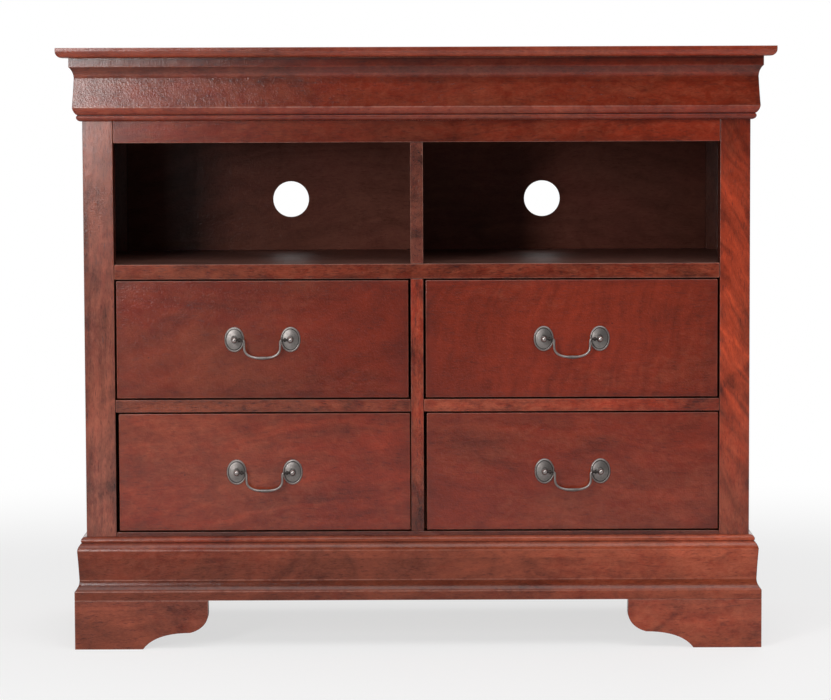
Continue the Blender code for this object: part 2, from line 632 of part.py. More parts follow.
def drawer_back(name, carriage):
    """Back in the sides' dados, grooved for the bottom and notched over the centre runner."""
    reach = BOX_INNER + BACK_DADO - GAP
    back_face = DRAWER_BACK_FRONT + BOX_THICKNESS
    notch = RUNNER_WIDTH / 2 + RUNNER_GUIDE_GAP
    outline = [
        (-reach, BOX_FOOT), (-notch, BOX_FOOT), (-notch, NOTCH_HEAD), (notch, NOTCH_HEAD), (notch, BOX_FOOT),
        (reach, BOX_FOOT), (reach, BOX_HEAD - BACK_DROP), (-reach, BOX_HEAD - BACK_DROP)]
    board = plate(f"{name}_drawer_back", [outline], "front", DRAWER_BACK_FRONT, back_face, carriage)
    groove = block(
        f"{name}_back_groove", (-FRONT_HALF, DRAWER_BACK_FRONT - GROOVE_DEPTH, GROOVE_FOOT),
        (FRONT_HALF, DRAWER_BACK_FRONT + GROOVE_DEPTH, GROOVE_HEAD))
    use_tool(board, groove, "DIFFERENCE")
    finish(board, BOX_WOOD)


def drawer_bottom(name, carriage):
    """Thin panel held in the grooves of the front, sides and back."""
    let_in = GROOVE_DEPTH - GAP
    reach = BOX_INNER + let_in
    board = block(
        f"{name}_drawer_bottom", (-reach, FRONT_BACK - let_in, GROOVE_FOOT + GAP),
        (reach, DRAWER_BACK_FRONT + let_in, GROOVE_HEAD - GAP), carriage)
    finish(board, BOX_WOOD)


def rosette_profile():
    """(radius, height) points of a rosette along its tall half: a dished plate inside a raised rim."""
    rim = ROSETTE_HEIGHT / 2
    face = [(out * rim, height * ROSETTE_RIM) for out, height in ROSETTE_SECTION]
    return face + [(rim, 0.0), (0.0, 0.0)]


def stud_profile():
    """(radius, height) points of a post: a ball head on a waisted stud with a collar at its foot."""
    neck = math.degrees(math.asin(STUD_RADIUS / BALL_RADIUS))
    arc = ellipse_arc((0.0, BAIL_STANDOFF), (BALL_RADIUS, BALL_RADIUS), 90, neck - 90, BALL_STEPS // 2)
    ball = [(max(radius, 0.0), height) for radius, height in arc]
    ball[0] = (0.0, ball[0][1])
    root = ROSETTE_RIM / 2
    return ball + [
        (STUD_WAIST, (STUD_COLLAR_HEAD + ball[-1][1]) / 2), (STUD_RADIUS, STUD_COLLAR_HEAD),
        (STUD_COLLAR_RADIUS, STUD_COLLAR_SHOULDER), (STUD_COLLAR_RADIUS, root), (0.0, root)]


def pull_posts(name, carriage):
    """Two posts with oval rosettes, each with a blind hole for one end of the bail."""
    facing = Matrix.Rotation(math.pi / 2, 4, "X")
    oval = Matrix.Diagonal((ROSETTE_WIDTH / ROSETTE_HEIGHT, 1.0, 1.0, 1.0))
    for side, sign in (("left", -1), ("right", 1)):
        seat = Matrix.Translation((sign * POST_SPACING / 2, DRAWER_RECESS - GAP, PULL_HEIGHT))
        post = turned(
            f"{name}_pull_{side}_post", rosette_profile(), ROSETTE_STEPS, seat @ facing @ oval, carriage)
        stud = turned(f"{name}_{side}_stud", stud_profile(), BALL_STEPS, seat @ facing)
        use_tool(post, stud, "UNION")
        mouth = BAIL_HOLE_END + 2 * BALL_RADIUS
        hole_radius = BAIL_PIN_RADIUS + BAIL_PIN_GAP
        profile = [(0.0, mouth), (hole_radius, mouth), (hole_radius, 0.0), (0.0, 0.0)]
        start = Vector((sign * (POST_SPACING / 2 + BAIL_HOLE_END), pull_axis_y(), PULL_HEIGHT))
        placing = Matrix.Translation(start) @ Matrix.Rotation(-sign * math.pi / 2, 4, "Y")
        hole = turned(f"{name}_{side}_pin_hole", profile, BALL_STEPS, placing)
        use_tool(post, hole, "DIFFERENCE")
        finish(post, PEWTER)


def pull_axis_y():
    """Where the bail's axis lies, front to back, from the frame's face."""
    return DRAWER_RECESS - GAP - BAIL_STANDOFF


def bail_route():
    """(x, z, radius) of the left half of a bail, from its pin's tip to the middle of its grip."""
    post = -POST_SPACING / 2
    collar = post + BAIL_COLLAR_START
    collar_end = collar + BAIL_COLLAR_LENGTH
    leg = post + BAIL_LEG_INSET
    elbow = (leg - BAIL_ELBOW_RADIUS, -BAIL_ELBOW_RADIUS)
    route = [
        (post + BAIL_PIN_TIP, 0.0, BAIL_PIN_RADIUS), (collar, 0.0, BAIL_PIN_RADIUS),
        (collar + BAIL_COLLAR_EASE / 4, 0.0, BAIL_COLLAR_NECK),
        (collar + BAIL_COLLAR_EASE, 0.0, BAIL_COLLAR_RADIUS),
        (collar_end - BAIL_COLLAR_EASE, 0.0, BAIL_COLLAR_RADIUS), (collar_end, 0.0, BAIL_COLLAR_NECK)]
    for x, z in ellipse_arc(elbow, (BAIL_ELBOW_RADIUS,) * 2, 90, 0, ARC_STEPS):
        route.append((x, z, BAIL_WIRE_RADIUS))
    leg_handle = (leg, -BAIL_LEG_STRAIGHT - BAIL_LEG_HANDLE * (BAIL_DROP - BAIL_LEG_STRAIGHT))
    grip_handle = (leg * BAIL_GRIP_HANDLE, -BAIL_DROP)
    leg_foot, middle = (leg, -BAIL_LEG_STRAIGHT), (0.0, -BAIL_DROP)
    for x, z in bezier(leg_foot, leg_handle, grip_handle, middle, BAIL_GRIP_STEPS):
        swell = BAIL_SWELL * math.exp(-((x / BAIL_SWELL_REACH) ** 2))
        route.append((x, z, BAIL_WIRE_RADIUS + swell))
    return route


def bail(name, carriage):
    """The swinging handle, with its origin on the axis through its pins."""
    left = bail_route()
    route = left + [(-x, z, radius) for x, z, radius in reversed(left[:-1])]
    curve = bpy.data.curves.new(f"{name}_pull_bail", "CURVE")
    curve.dimensions = "3D"
    curve.bevel_depth = 1.0
    curve.bevel_resolution = BAIL_WIRE_STEPS
    curve.use_fill_caps = True
    spline = curve.splines.new("POLY")
    spline.points.add(len(route) - 1)
    for point, (x, z, radius) in zip(spline.points, route):
        point.co = (x, 0.0, z, 1.0)
        point.radius = radius
    drawn = bpy.data.objects.new(f"{name}_pull_bail", curve)
    PARTS.objects.link(drawn)
    handle = as_mesh(drawn, Matrix.Identity(4), carriage)
    handle.location = (0.0, pull_axis_y(), PULL_HEIGHT)
    finish(handle, PEWTER)


def drawer_runner(name, centre_x, floor_z):
    """Centre guide that lies on the front rail and reaches the back panel."""
    start = Y_FACE + FRONT_BACK + RUNNER_SETBACK
    runner = block(
        f"{name}_drawer_runner", (centre_x - RUNNER_WIDTH / 2, start, floor_z + GAP),
        (centre_x + RUNNER_WIDTH / 2, Y_BACK_PANEL - GAP, floor_z + GAP + RUNNER_HEIGHT))
    finish(runner, BOX_WOOD)


def drawer(name, sign, floor_z):
    """A whole drawer in the frame of its carriage: x from its middle, y from the face, z from its rail."""
    centre_x = sign * OPENING_CENTRE + SIDE_SHIFTS[name]
    drawer_runner(name, centre_x, floor_z)
    carriage = bpy.data.objects.new(f"{name}_drawer", None)
    carriage.location = (centre_x, Y_FACE, floor_z)
    PARTS.objects.link(carriage)
    drawer_front(name, carriage)
    drawer_sides(name, carriage)
    drawer_back(name, carriage)
    drawer_bottom(name, carriage)
    pull_posts(name, carriage)
    bail(name, carriage)


top_board()
moulding_set("crown", moulding_profile(CROWN_HEIGHT), Z_CROWN)
moulding_set("base", upside_down(moulding_profile(BASE_HEIGHT), BASE_HEIGHT), FOOT_HEIGHT)
front_posts()
side_panels()
front_frame()
compartment_divider()
media_shelf()
back_panel()
feet()
for level, opening_floor in (("upper", Z_UPPER), ("lower", Z_LOWER)):
    for hand, direction in (("left", -1), ("right", 1)):
        drawer(f"{level}_{hand}", direction, opening_floor)
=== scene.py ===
"""Media chest: its finish, its small hardware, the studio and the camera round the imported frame."""

import json
import math

import bmesh
import bpy
from mathutils import Matrix, Vector


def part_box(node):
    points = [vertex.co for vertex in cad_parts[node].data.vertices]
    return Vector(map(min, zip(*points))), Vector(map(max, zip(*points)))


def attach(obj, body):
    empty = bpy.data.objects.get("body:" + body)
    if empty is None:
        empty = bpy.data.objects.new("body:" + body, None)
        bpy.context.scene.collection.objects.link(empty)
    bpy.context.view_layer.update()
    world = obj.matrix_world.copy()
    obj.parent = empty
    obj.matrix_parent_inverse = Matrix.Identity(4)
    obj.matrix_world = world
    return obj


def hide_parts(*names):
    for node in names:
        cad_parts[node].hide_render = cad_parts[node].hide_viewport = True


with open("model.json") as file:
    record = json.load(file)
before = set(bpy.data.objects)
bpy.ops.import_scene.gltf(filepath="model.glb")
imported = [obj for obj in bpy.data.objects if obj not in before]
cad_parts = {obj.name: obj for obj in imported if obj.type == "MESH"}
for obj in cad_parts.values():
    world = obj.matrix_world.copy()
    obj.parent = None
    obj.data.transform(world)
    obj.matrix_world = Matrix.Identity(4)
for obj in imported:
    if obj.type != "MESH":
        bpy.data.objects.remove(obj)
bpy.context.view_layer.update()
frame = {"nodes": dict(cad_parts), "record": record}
NODES = frame["nodes"]
BODY_OF = {node: body for body, nodes in frame["record"]["behaviour"]["bodies"].items() for node in nodes}

# Camera, in metres and degrees
CAMERA_PLACE = (-0.0025, -5.3527, 0.8678)
CAMERA_PITCH = 4.649
CAMERA_ROLL = -0.210
CAMERA_LENS = 149.9
CAMERA_SENSOR = 36.0

# Studio
FLOOR_RADIUS = 40.0
WHITE = (1.0, 1.0, 1.0, 1.0)
FLOOR_COLOUR = (0.75, 0.75, 0.75, 1.0)
FLOOR_SEEN = (0.95, 0.95, 0.95, 1.0)
FLOOR_LIFT = 0.66                # share of plain white in the floor near the chest, as the camera sees it
FLOOR_FADE_START = 0.8
FLOOR_FADE_END = 2.0
SOFTBOXES = (                    # name, place, aim, size, power, and what it lights
    ("left_softbox", (-1.45, -2.9, 1.35), (-0.1, -0.2, 0.75), (0.9, 1.3), 24.0, "glossy"),
    ("sheen_softbox", (-0.95, -3.0, 1.05), (-0.3, -0.2, 0.75), (0.42, 0.78), 12.0, "glossy"),
    ("key_softbox", (-1.27, -2.9, 1.0), (-0.1, -0.2, 0.65), (0.45, 0.9), 33.2, "matt"),
    ("overhead_softbox", (0.2, -1.75, 2.35), (0.0, -0.19, 0.5), (3.0, 1.4), 29.5, "all"),
    ("rear_softbox", (0.6, 2.4, 2.6), (0.0, 0.2, 0.45), (1.8, 1.3), 24.0, "matt"))
ROOM_LIGHT = 0.30                # what the room's walls give to matt surfaces
ROOM_IN_GLOSS = 0.05             # how bright the dim side of the room looks in a glossy one
ROOM_TURN = (-0.75, 0.15)        # where dim goes over to white, from -1 at the front to 1 at the back

# Wood
ARRIS = 0.0011
ARRIS_STEPS = 4
FINE_ARRIS = 0.0004
FINE_ARRIS_STEPS = 2
PALE_ARRIS_REACH = 0.0014
KNOT_CORE = 0.00063
KNOT_FADE = 0.0021
LEVEL_SLACK = 0.0004             # how far off its height an edge of a moulding may lie
WELD = 0.00002
MERGE = 0.000001
FLAT_LIMIT = math.radians(1)
SMOOTH_LIMIT = math.radians(35)
BRAD_RADIUS = 0.0017
BRAD_SPACING = 0.115
BRAD_INSET = 0.0075

# Finish colours, linear
CHERRY = (0.165, 0.0166, 0.0056)
CHERRY_BROWN = (0.195, 0.0415, 0.0190)
CHERRY_BARE = (0.420, 0.0500, 0.0150)
CHERRY_DEEP = (0.060, 0.0100, 0.0070)
# Grey of dust and of a painted sheen
CHERRY_DUST_AND_SHEEN = (0.150, 0.0900, 0.0760)
# Paler arrises: partly worn, partly a painted highlight
ARRIS_WEAR_AND_HIGHLIGHT = (0.46, 0.21, 0.155)
BOX_PALE = (0.57, 0.320, 0.160)
BOX_DEEP = (0.40, 0.190, 0.085)
PEWTER_LIGHT = (0.44, 0.400, 0.380)
PEWTER_DARK = (0.060, 0.052, 0.049)


class Value:
    """A number that changes over a surface. Arithmetic on it adds the Math nodes."""

    def __init__(self, finish, socket):
        self.finish = finish
        self.socket = socket

    def __add__(self, other):
        return self.finish.maths("ADD", self, other)

    def __sub__(self, other):
        return self.finish.maths("SUBTRACT", self, other)

    def __mul__(self, other):
        return self.finish.maths("MULTIPLY", self, other)

    def __truediv__(self, other):
        return self.finish.maths("DIVIDE", self, other)

    def __pow__(self, other):
        return self.finish.maths("POWER", self, other)

    def __rsub__(self, other):
        return self.finish.maths("SUBTRACT", other, self)

    __radd__ = __add__
    __rmul__ = __mul__

    def least(self, other):
        return self.finish.maths("MINIMUM", self, other)

    def most(self, other):
        return self.finish.maths("MAXIMUM", self, other)

    def to_and_fro(self, reach):
        """Up from 0 to reach and down again, over and over."""
        return self.finish.maths("PINGPONG", self, reach)

    def step(self, start, end):
        """0 before start, 1 after end, smooth between them."""
        settings = {"interpolation_type": "SMOOTHSTEP"}
        return self.finish.node("ShaderNodeMapRange", settings, {0: self, 1: start, 2: end}).value()

    def near(self, level, core, fade):
        """1 within core of a level, 0 further than fade from it."""
        return 1 - ((self - level) ** 2.0).step(core ** 2, fade ** 2)


class Node:
    """One shader node, whose outputs come out as values or as links."""

    def __init__(self, finish, node):
        self.finish = finish
        self.node = node

    def value(self, output=0):
        return Value(self.finish, self.node.outputs[output])

    def link(self, output=0):
        return self.node.outputs[output]


class Nodes:
    """The nodes of a material or of the room, and what is worked out with them."""

    def __init__(self, owner):
        owner.use_nodes = True
        self.tree = owner.node_tree

    def feed(self, node, inputs):
        for key, given in inputs.items():
            socket = node.inputs[key.replace("_", " ") if isinstance(key, str) else key]
            if isinstance(given, Value):
                given = given.socket
            if isinstance(given, bpy.types.NodeSocket):
                self.tree.links.new(given, socket)
            else:
                socket.default_value = given

    def node(self, kind, settings=None, inputs=None):
        """Any node: its kind, its settings, and the values or links of its sockets."""
        made = self.tree.nodes.new(kind)
        for key, setting in (settings or {}).items():
            setattr(made, key, setting)
        self.feed(made, inputs or {})
        return Node(self, made)

    def maths(self, operation, first, second):
        return self.node("ShaderNodeMath", {"operation": operation}, {0: first, 1: second}).value()

    def axes(self, order):
        """Object coordinates as three values in the order asked, such as "xzy"."""
        place = self.node("ShaderNodeTexCoord").link("Object")
        split = self.node("ShaderNodeSeparateXYZ", None, {0: place})
        return [split.value("XYZ".index(axis.upper())) for axis in order]

    def point(self, x, y, z):
        return self.node("ShaderNodeCombineXYZ", None, {0: x, 1: y, 2: z}).link()

    def noise(self, point, scale, detail=2.0, roughness=0.5, distortion=0.0):
        inputs = {
            "Vector": point, "Scale": scale, "Detail": detail, "Roughness": roughness,
            "Distortion": distortion}
        return self.node("ShaderNodeTexNoise", None, inputs).value("Fac")

    def rings(self, radius, scale):
        """Noise that changes with one distance only, such as that from a trunk's heart."""
        inputs = {"W": radius, "Scale": scale, "Detail": 2.0, "Roughness": 0.5}
        return self.node("ShaderNodeTexNoise", {"noise_dimensions": "1D"}, inputs).value("Fac")

    def mix(self, factor, first, second):
        """Two colours mixed."""
        settings = {"data_type": "RGBA", "clamp_factor": True}
        made = self.node("ShaderNodeMix", settings, {0: factor, 6: colour(first), 7: colour(second)})
        return made.link(2)

    def shade(self, base, share):
        """A colour made darker or lighter by a share."""
        made = self.node("ShaderNodeVectorMath", {"operation": "SCALE"}, {0: base, 3: share})
        return made.link()

    def bump(self, height, distance, under=None):
        inputs = {"Height": height, "Distance": distance}
        if under is not None:
            inputs["Normal"] = under
        return self.node("ShaderNodeBump", None, inputs).link()


class Finish(Nodes):
    """A material with one Principled shader."""

    def __init__(self, name, **shader):
        self.material = bpy.data.materials.new(name)
        super().__init__(self.material)
        self.shader = self.tree.nodes["Principled BSDF"]
        self.feed(self.shader, shader)


def colour(given):
    return (*given, 1.0) if isinstance(given, tuple) and len(given) == 3 else given


def arris_mask(finish, box, reach):
    """1 on the arrises of a board, 0 on its faces."""
    x, y, z = [
        (place - low).most(0.0).least((high - place).most(0.0))
        for place, low, high in zip(finish.axes("xyz"), *box)]
    return 1 - (x + y + z - x.most(y).most(z)).step(reach * 0.3, reach)


def brads(wood, box):
    """1 on the flush heads of the brads round the back panel and along the shelf in front of it."""
    low, high = box
    x, y, z = wood.axes("xyz")
    left, right = low.x + BRAD_INSET, high.x - BRAD_INSET
    foot, head = low.z + BRAD_INSET, high.z - BRAD_INSET
    shelf_low, shelf_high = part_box("media_shelf")
    shelf = (shelf_low.z + shelf_high.z) / 2
    by_x = (x - left).to_and_fro((right - left) / round((right - left) / BRAD_SPACING) / 2)
    by_z = (z - foot).to_and_fro((head - foot) / round((head - foot) / BRAD_SPACING) / 2)
    off_row = ((z - foot) ** 2.0).least((z - head) ** 2.0).least((z - shelf) ** 2.0)
    off_side = ((x - left) ** 2.0).least((x - right) ** 2.0)
    off_head = (off_row + by_x ** 2.0).least(off_side + by_z ** 2.0)
    heads = 1 - off_head.step(BRAD_RADIUS ** 2, (BRAD_RADIUS * 1.3) ** 2)
    return heads * (y - high.y).step(-0.0010, -0.0005)


def stained_cherry(name, box, order, seed, brown=(0.3, 0.3), shade=(1.0, 1.0, 1.0), gloss=1.0, dull=0.0,
                   grain=1.0, dust_and_sheen=0.0, streaks=(6.0, 0.018, 0.5), bare=None, knots=(), arrises=(),
                   quirk=None, pale_arrises=(0.3, 0.3), peel=1.0, lit_and_shaded_bands=(), nailed=False):
    """Stained and lacquered cherry.

    The grain runs along the first axis of order, and the face is its first two. Brown says how the stain
    took at the board's low and high end. Shade says how light the board came out at its low end, in the
    middle and at its high end: partly how the stain took, and partly painted light and shade, such as a
    painted shadow at the ends of the back panel and painted light on the right and lower pieces. Gloss is
    the lacquer's shine, dull what scuffing adds to its roughness, and peel how much its skin ripples. Grain
    is how strongly the wood shows through, and the grey mix is partly dust and partly a painted sheen.
    Streaks are the degrees that the figure leans off the grain, its spacing in metres, and its strength.
    Bare is where along the board the stain took least, and how little. Knots are pin knots, in shares of
    the length and width. How pale the arrises are at the two ends is partly wear and partly a painted
    highlight where they catch the light, and nailed is for the back panel with its brads.

    On a moulding, heights are above the piece's foot: arrises are its crisp edges, pale like the board's
    arrises, quirk its groove and how dark the painted shade in it is, and bands its members made lighter
    or darker as painted light and shade, as (middle, half height, how light).
    """
    wood = Finish(name, Specular_IOR_Level=0.40 * gloss, Coat_Weight=0.30 * gloss, Coat_Roughness=0.13)
    along, across, inward = wood.axes(order)
    low, high = ([corner["xyz".index(axis)] for axis in order] for corner in box)
    length = high[0] - low[0]
    run = (along - low[0]) / length

    # Annual rings: cuts through a leaning trunk, whose heart lies behind the face
    drift = wood.noise(wood.point(along * 2.0 + seed * 3.7, across * 5.0 + seed, inward * 5.0), 1.6, 3.0)
    heart = (low[1] + high[1]) / 2 + 0.05 * math.sin(seed * 2.4)
    lean = 0.14 * math.cos(seed * 1.7)
    off = across - heart + (along - low[0]) * lean + drift * 0.13 - 0.065
    depth = inward * 0.5 + 0.040 + (along - (low[0] + high[0]) / 2 - 0.1 * math.sin(seed)) ** 2.0 * 0.35
    radius = (off * off + depth * depth) ** 0.5
    rings = wood.rings(radius + seed * 5.3, 90.0)

    # Short dark vessels and fine fibres
    vessel_place = wood.point(along * 75.0 + seed, across * 430.0 + drift * 20.0, inward * 430.0)
    vessels = wood.noise(vessel_place, 1.0, 2.0, 0.6).step(0.53, 0.74)
    fibre_place = wood.point(along * 190.0 - seed, across * 700.0 + drift * 40.0, inward * 700.0)
    fibre = wood.noise(fibre_place, 1.0, 2.0, 0.7)

    # Streaks of figure, and the cloudy take-up of the stain
    degrees, spacing, strength = streaks
    lengthwise, sideways = math.cos(math.radians(degrees)), math.sin(math.radians(degrees))
    down_streak = along * (lengthwise * 0.15 / spacing) + across * (sideways * 0.15 / spacing)
    over_streak = across * (lengthwise / spacing) - along * (sideways / spacing)
    streak_place = wood.point(
        down_streak + seed, over_streak + drift * (0.07 / spacing), inward * (0.3 / spacing))
    streak = wood.noise(streak_place, 1.0, 3.0, 0.55, 0.4)
    cloud_place = wood.point(along * 12.0 + seed * 2.1, across * 15.0, inward * 15.0 + seed)
    cloud = wood.noise(cloud_place, 1.0, 5.0, 0.62, 0.8)
    mottle = wood.noise(wood.point(along * 55.0 - seed, across * 80.0, inward * 80.0), 1.0, 3.0, 0.7, 0.6)
    stain = wood.noise(wood.point(along * 5.0 - seed, across * 11.0 + seed, inward * 9.0), 1.0, 3.0, 0.55)

    # Darker towards the board's ends and edges
    edge = (along - low[0]).least(high[0] - along).least((across - low[1]).least(high[1] - across) * 2.0)
    edge_darkening = 1 - (edge + cloud * 0.016 - 0.008).step(0.0, 0.026)

    tone = ((cloud - 0.5) * 0.85 + (mottle - 0.5) * 0.34 + (streak - 0.5) * strength
            + (rings - 0.5) * 0.36 + (fibre - 0.5) * 0.54) * grain
    browner = brown[0] + (brown[1] - brown[0]) * run + (stain - 0.5) * 1.8 + (mottle - 0.5) * 1.2 * grain
    # Grey mix: partly dust, partly a painted sheen
    stained = wood.mix(dust_and_sheen, wood.mix(browner, CHERRY, CHERRY_BROWN), CHERRY_DUST_AND_SHEEN)
    if bare is not None:
        place, share = bare
        patch = (1 - ((run - place) / 0.34) ** 2.0).most(0.0) * share
        stained = wood.mix(patch * (0.55 + (streak - 0.5) * 1.6 + (stain - 0.5) * 0.8), stained, CHERRY_BARE)
    dark = vessels * 0.38 * grain + edge_darkening * 0.20 + (0.43 - cloud).most(0.0) * 1.3 * grain
    for share_along, share_across in knots:
        x = along - (low[0] + share_along * length)
        y = across - (low[1] + share_across * (high[1] - low[1]))
        dark = dark + (1 - (x * x + y * y * 1.6).step(KNOT_CORE ** 2, KNOT_FADE ** 2)) * 0.75
    height = wood.axes("z")[0] - box[0].z
    # Painted shade in a moulding's quirk: a dark line along the groove
    if quirk is not None:
        level, strength = quirk
        dark = dark + height.near(level, 0.0003, 0.0011) * strength
    darkened = wood.mix(dark, stained, CHERRY_DEEP)
    first_half, second_half = (run * 2.0).least(1.0), (run * 2.0 - 1.0).most(0.0)
    shading = shade[0] + (shade[1] - shade[0]) * first_half + (shade[2] - shade[1]) * second_half
    # Painted light and shade: the mouldings' members made lighter or darker in bands by height
    for middle, half, lightness in lit_and_shaded_bands:
        shading = shading * (height.near(middle, half * 0.6, half) * (lightness - 1) + 1)
    toned = wood.shade(darkened, shading * (tone + 1.06))

    # Paler arrises: partly rubbed through to paler wood, partly a painted highlight where they catch the
    # light
    rubbed = arris_mask(wood, box, PALE_ARRIS_REACH)
    for level in arrises:
        rubbed = rubbed.most(height.near(level, 0.00045, 0.0011))
    paleness = (pale_arrises[0] + (pale_arrises[1] - pale_arrises[0]) * run) * (mottle.step(0.30, 0.60) * 0.7 + 0.3)
    base = wood.mix(rubbed * paleness, toned, ARRIS_WEAR_AND_HIGHLIGHT)
    if nailed:
        base = wood.mix(brads(wood, box) * 0.8, base, PEWTER_LIGHT)

    peel_place = wood.point(along + seed, across, inward)
    orange_peel = wood.noise(peel_place, 400.0, 1.5, 0.55)
    waves = wood.noise(peel_place, 75.0, 2.0)
    relief = wood.bump(orange_peel + waves, 0.00034 * peel)
    relief = wood.bump(fibre * 0.6 - vessels, 0.000015, relief)
    smudges = wood.noise(peel_place, 9.0, 3.0, 0.6)
    roughness = smudges * 0.12 + vessels * 0.08 + (0.12 + dull)
    wood.feed(wood.shader, {"Base Color": base, "Roughness": roughness, "Normal": relief})
    return wood.material


def box_wood(name, order, seed):
    """Pale sealed hardwood of the drawer boxes and runners."""
    wood = Finish(name, Specular_IOR_Level=0.35)
    along, across, inward = wood.axes(order)
    drift = wood.noise(wood.point(along * 1.5 + seed, across * 4.0, inward * 4.0), 1.5, 3.0)
    rings = wood.rings(across + inward * 0.4 + drift * 0.12 + seed, 85.0)
    fibre_place = wood.point(along * 8.0 + seed, across * 500.0 + drift * 9.0, inward * 500.0)
    fibre = wood.noise(fibre_place, 1.0, 3.0, 0.6)
    cloud = wood.noise(wood.point(along * 2.0, across * 6.0 + seed, inward * 6.0), 2.0, 3.0)
    tone = rings * 0.55 + fibre * 0.35 + cloud * 0.25 - 0.1
    base = wood.mix(tone.step(0.15, 0.85), BOX_PALE, BOX_DEEP)
    wood.feed(wood.shader, {
        "Base Color": base, "Roughness": 0.48 + fibre * 0.16,
        "Normal": wood.bump(fibre + rings * 0.4, 0.00012)})
    return wood.material


def pewter(name, box, seed, part="head"):
    """Antiqued pewter: dark in its hollows, rubbed brighter where it stands out.

    The part is a rosette with its stud, a bail, or the plain head of a screw.
    """
    metal = Finish(name, Metallic=1.0, Specular_IOR_Level=0.5)
    x, y, z = metal.axes("xyz")
    low, high = box
    centre = (low + high) / 2
    place = metal.point(x - centre.x + seed, y - centre.y, z - centre.z)
    grime = metal.noise(place, 120.0, 4.0, 0.65)
    pits = metal.noise(place, 700.0, 3.0, 0.6)
    rubbed = 0.62 + (grime - 0.5) * 0.7 + (pits - 0.5) * 0.5
    if part == "rosette":
        wide = (x - centre.x) / ((high.x - low.x) / 2)
        tall = (z - centre.z) / ((high.z - low.z) / 2)
        out = (wide * wide + tall * tall) ** 0.5
        standing = (high.y - y).step(0.0045, 0.0080)
        groove = out.step(0.76, 0.80) * (1 - out.step(0.845, 0.870))
        hollow = (1 - out.step(0.26, 0.38)) * (1 - standing)
        rubbed = rubbed - 0.10 + out.step(0.86, 0.89) * 0.25 + standing * 0.6 - groove * 0.4 - hollow * 0.4
    elif part == "bail":
        grip = x.near(centre.x, 0.0032, 0.0126)
        pins = 1 - x.near(centre.x, 0.0276, 0.0293)
        rubbed = rubbed + 0.1 - 0.3 * grip - 0.8 * pins
    base = metal.mix(rubbed, PEWTER_DARK, PEWTER_LIGHT)
    metal.feed(metal.shader, {
        "Base Color": base, "Roughness": 0.54 - rubbed.most(0.0).least(1.2) * 0.30,
        "Normal": metal.bump(grime * 0.5 + pits, 0.00012)})
    return metal.material


def dress(piece, material):
    piece.data.materials.clear()
    piece.data.materials.append(material)
    return piece


def new_piece(name, form, body):
    """Make a bmesh a piece on a body, smooth on its curves and sharp on its arrises."""
    mesh = bpy.data.meshes.new(name)
    form.to_mesh(mesh)
    form.free()
    mesh.shade_smooth()
    mesh.set_sharp_from_angle(angle=SMOOTH_LIMIT)
    piece = bpy.data.objects.new(name, mesh)
    bpy.context.scene.collection.objects.link(piece)
    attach(piece, body)
    return piece


def stand_for(form, node):
    """Make a bmesh the piece that stands for a node."""
    piece = new_piece(f"{node}_finished", form, BODY_OF[node])
    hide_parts(node)
    return piece


def rounded_board(node):
    """A plain board of the node's size, with softly rounded arrises."""
    low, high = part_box(node)
    form = bmesh.new()
    bmesh.ops.create_cube(form, size=1.0)
    bmesh.ops.scale(form, vec=high - low, verts=form.verts)
    bmesh.ops.translate(form, vec=(low + high) / 2, verts=form.verts)
    bmesh.ops.bevel(
        form, geom=list(form.edges), offset=ARRIS, segments=ARRIS_STEPS, profile=0.5, affect="EDGES")
    piece = stand_for(form, node)
    piece.data.set_sharp_from_angle(angle=math.pi)
    keep_faces_flat(piece)
    return piece


def keep_faces_flat(piece):
    """Shade the flats flat and only the narrow rounds between them smooth."""
    weigh = piece.modifiers.new("flats", "WEIGHTED_NORMAL")
    weigh.keep_sharp = True


def eased_copy(node, crisp=()):
    """The node's own shape with its arrises rounded, and kept crisp at the given heights above its foot."""
    form = bmesh.new()
    form.from_mesh(NODES[node].data)
    bmesh.ops.remove_doubles(form, verts=form.verts, dist=WELD)
    bmesh.ops.dissolve_limit(form, angle_limit=FLAT_LIMIT, verts=form.verts, edges=form.edges)
    piece = stand_for(form, node)
    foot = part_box(node)[0].z
    points = piece.data.vertices
    for edge in piece.data.edges:
        first, second = (points[i].co.z - foot for i in edge.vertices)
        if any(abs(first - level) + abs(second - level) < LEVEL_SLACK for level in crisp):
            edge.use_edge_sharp = True
    bevel = piece.modifiers.new("arrises", "BEVEL")
    bevel.width = FINE_ARRIS
    bevel.segments = FINE_ARRIS_STEPS
    bevel.limit_method = "ANGLE"
    bevel.angle_limit = SMOOTH_LIMIT
    bevel.use_clamp_overlap = True
    bevel.harden_normals = False
    keep_faces_flat(piece)
    return piece


def joined(forms):
    """Several bmeshes as one."""
    whole = bmesh.new()
    for form in forms:
        mesh = bpy.data.meshes.new("shell")
        form.to_mesh(mesh)
        form.free()
        whole.from_mesh(mesh)
        bpy.data.meshes.remove(mesh)
    return whole


def turned(profile, steps, placing):
    """A closed profile of (radius, height) points turned about its axis."""
    form = bmesh.new()
    points = [form.verts.new((radius, 0.0, height)) for radius, height in profile]
    lines = [form.edges.new(pair) for pair in zip(points, points[1:])]
    bmesh.ops.spin(
        form, geom=points + lines, cent=(0, 0, 0), axis=(0, 0, 1), angle=math.tau, steps=steps,
        use_merge=True)
    bmesh.ops.remove_doubles(form, verts=form.verts, dist=MERGE)
    bmesh.ops.recalc_face_normals(form, faces=form.faces)
    form.transform(placing)
    return form


def arc(centre, radius, start, end, steps):
    """Points round a circle between two angles in degrees, both ends included."""
    angles = [math.radians(start + (end - start) * i / steps) for i in range(steps + 1)]
    return [(centre[0] + radius * math.cos(a), centre[1] + radius * math.sin(a)) for a in angles]


